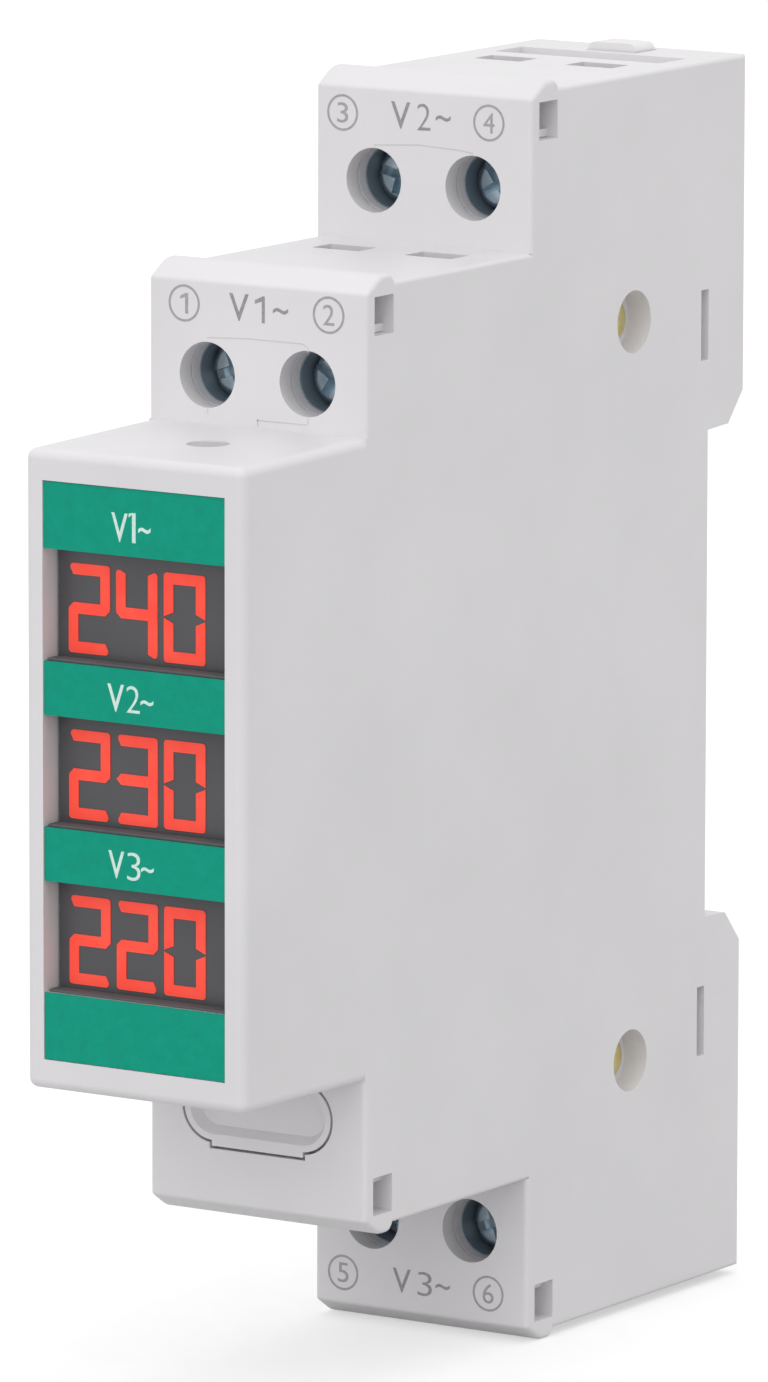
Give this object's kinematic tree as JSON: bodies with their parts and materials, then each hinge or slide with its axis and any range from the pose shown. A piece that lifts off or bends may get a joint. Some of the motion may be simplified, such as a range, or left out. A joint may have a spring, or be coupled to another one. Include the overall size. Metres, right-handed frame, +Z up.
{
  "type": "three-phase rail-mount digital voltmeter",
  "caption": "Slim stepped case for a 35 mm rail with stacked lit voltage displays in the nose, green label strips and clamp-screw terminals on the tiers.",
  "frame": {"origin": "centre of the rail seat: mid-width and mid-height on the floor of the rail notch", "axes": "+Y from the display towards the rail, +X to the right seen from the front, +Z up along the case"},
  "size_m": [0.018, 0.065, 0.09],
  "materials": {
    "case_plastic": "fine satin moulded light grey",
    "clip_plastic": "satin moulded",
    "label_green": "printed film",
    "display_face": "dark grey filter",
    "lit_red": "lit segments",
    "screw_steel": "blue zinc plated",
    "cage_steel": "zinc plated",
    "spring_steel": "bright wire",
    "contact_brass": "rolled",
    "rivet_brass": "polished head",
    "board_laminate": "solder mask",
    "black_plastic": "moulded",
    "capacitor_sleeve": "shrink sleeve",
    "film_case": "moulded box",
    "resistor_body": "lacquer"
  },
  "bodies": {
    "case": {"housing_left": "case_plastic", "housing_right": "case_plastic", "front_bezel": "case_plastic", "cap_v1": "case_plastic", "cap_v2": "case_plastic", "cap_v3": "case_plastic", "cap_blank": "case_plastic", "blanking_plug": "case_plastic", "label_v1": "label_green", "label_v2": "label_green", "label_v3": "label_green", "label_blank": "label_green", "crossbar_upper": "display_face", "crossbar_lower": "display_face", "display_v1": "display_face", "display_v2": "display_face", "display_v3": "display_face", "digits_v1": "lit_red", "digits_v2": "lit_red", "digits_v3": "lit_red", "display_board": "board_laminate", "main_board": "board_laminate", "board_header": "black_plastic", "capacitor": "capacitor_sleeve", "film_capacitor": "film_case", "controller": "black_plastic", "resistors": "resistor_body", "rivet_upper": "rivet_brass", "rivet_lower": "rivet_brass", "clip_spring": "spring_steel", "guard_1": "black_plastic", "contact_1": "contact_brass", "guard_2": "black_plastic", "contact_2": "contact_brass", "guard_3": "black_plastic", "contact_3": "contact_brass", "guard_4": "black_plastic", "contact_4": "contact_brass", "guard_5": "black_plastic", "contact_5": "contact_brass", "guard_6": "black_plastic", "contact_6": "contact_brass"},
    "rail_clip": {"rail_clip": "clip_plastic"},
    "screw_1": {"screw_1": "screw_steel"},
    "screw_2": {"screw_2": "screw_steel"},
    "screw_3": {"screw_3": "screw_steel"},
    "screw_4": {"screw_4": "screw_steel"},
    "screw_5": {"screw_5": "screw_steel"},
    "screw_6": {"screw_6": "screw_steel"},
    "cage_1": {"cage_1": "cage_steel"},
    "cage_2": {"cage_2": "cage_steel"},
    "cage_3": {"cage_3": "cage_steel"},
    "cage_4": {"cage_4": "cage_steel"},
    "cage_5": {"cage_5": "cage_steel"},
    "cage_6": {"cage_6": "cage_steel"}
  },
  "joints": [
    {"name": "clip_slide", "type": "slide", "parent": "case", "child": "rail_clip", "axis": [0, 0, 1], "range_m": [0, 0.002], "stiffness_N_per_m": 2000, "springref_m": -0.004, "deforming": ["clip_spring"]},
    {"name": "screw_1_turn", "type": "hinge", "parent": "case", "child": "screw_1", "pos_m": [-0.00415, -0.0414, 0.0259], "axis": [0, 1, 0], "range_deg": [0, 1800]},
    {"name": "cage_1_slide", "type": "slide", "parent": "case", "child": "cage_1", "axis": [0, -1, 0], "range_m": [0, 0.0025]},
    {"name": "screw_2_turn", "type": "hinge", "parent": "case", "child": "screw_2", "pos_m": [0.00415, -0.0414, 0.0259], "axis": [0, 1, 0], "range_deg": [0, 1800]},
    {"name": "cage_2_slide", "type": "slide", "parent": "case", "child": "cage_2", "axis": [0, -1, 0], "range_m": [0, 0.0025]},
    {"name": "screw_3_turn", "type": "hinge", "parent": "case", "child": "screw_3", "pos_m": [-0.00415, -0.0204, 0.0373], "axis": [0, 1, 0], "range_deg": [0, 1800]},
    {"name": "cage_3_slide", "type": "slide", "parent": "case", "child": "cage_3", "axis": [0, -1, 0], "range_m": [0, 0.0025]},
    {"name": "screw_4_turn", "type": "hinge", "parent": "case", "child": "screw_4", "pos_m": [0.00415, -0.0204, 0.0373], "axis": [0, 1, 0], "range_deg": [0, 1800]},
    {"name": "cage_4_slide", "type": "slide", "parent": "case", "child": "cage_4", "axis": [0, -1, 0], "range_m": [0, 0.0025]},
    {"name": "screw_5_turn", "type": "hinge", "parent": "case", "child": "screw_5", "pos_m": [-0.00415, -0.0204, -0.0373], "axis": [0, 1, 0], "range_deg": [0, 1800]},
    {"name": "cage_5_slide", "type": "slide", "parent": "case", "child": "cage_5", "axis": [0, -1, 0], "range_m": [0, 0.0025]},
    {"name": "screw_6_turn", "type": "hinge", "parent": "case", "child": "screw_6", "pos_m": [0.00415, -0.0204, -0.0373], "axis": [0, 1, 0], "range_deg": [0, 1800]},
    {"name": "cage_6_slide", "type": "slide", "parent": "case", "child": "cage_6", "axis": [0, -1, 0], "range_m": [0, 0.0025]}
  ],
  "couplings": [
    {"joint": "screw_1_turn", "follows": "cage_1_slide", "rad_per_m": 12566},
    {"joint": "screw_2_turn", "follows": "cage_2_slide", "rad_per_m": 12566},
    {"joint": "screw_3_turn", "follows": "cage_3_slide", "rad_per_m": 12566},
    {"joint": "screw_4_turn", "follows": "cage_4_slide", "rad_per_m": 12566},
    {"joint": "screw_5_turn", "follows": "cage_5_slide", "rad_per_m": 12566},
    {"joint": "screw_6_turn", "follows": "cage_6_slide", "rad_per_m": 12566}
  ]
}
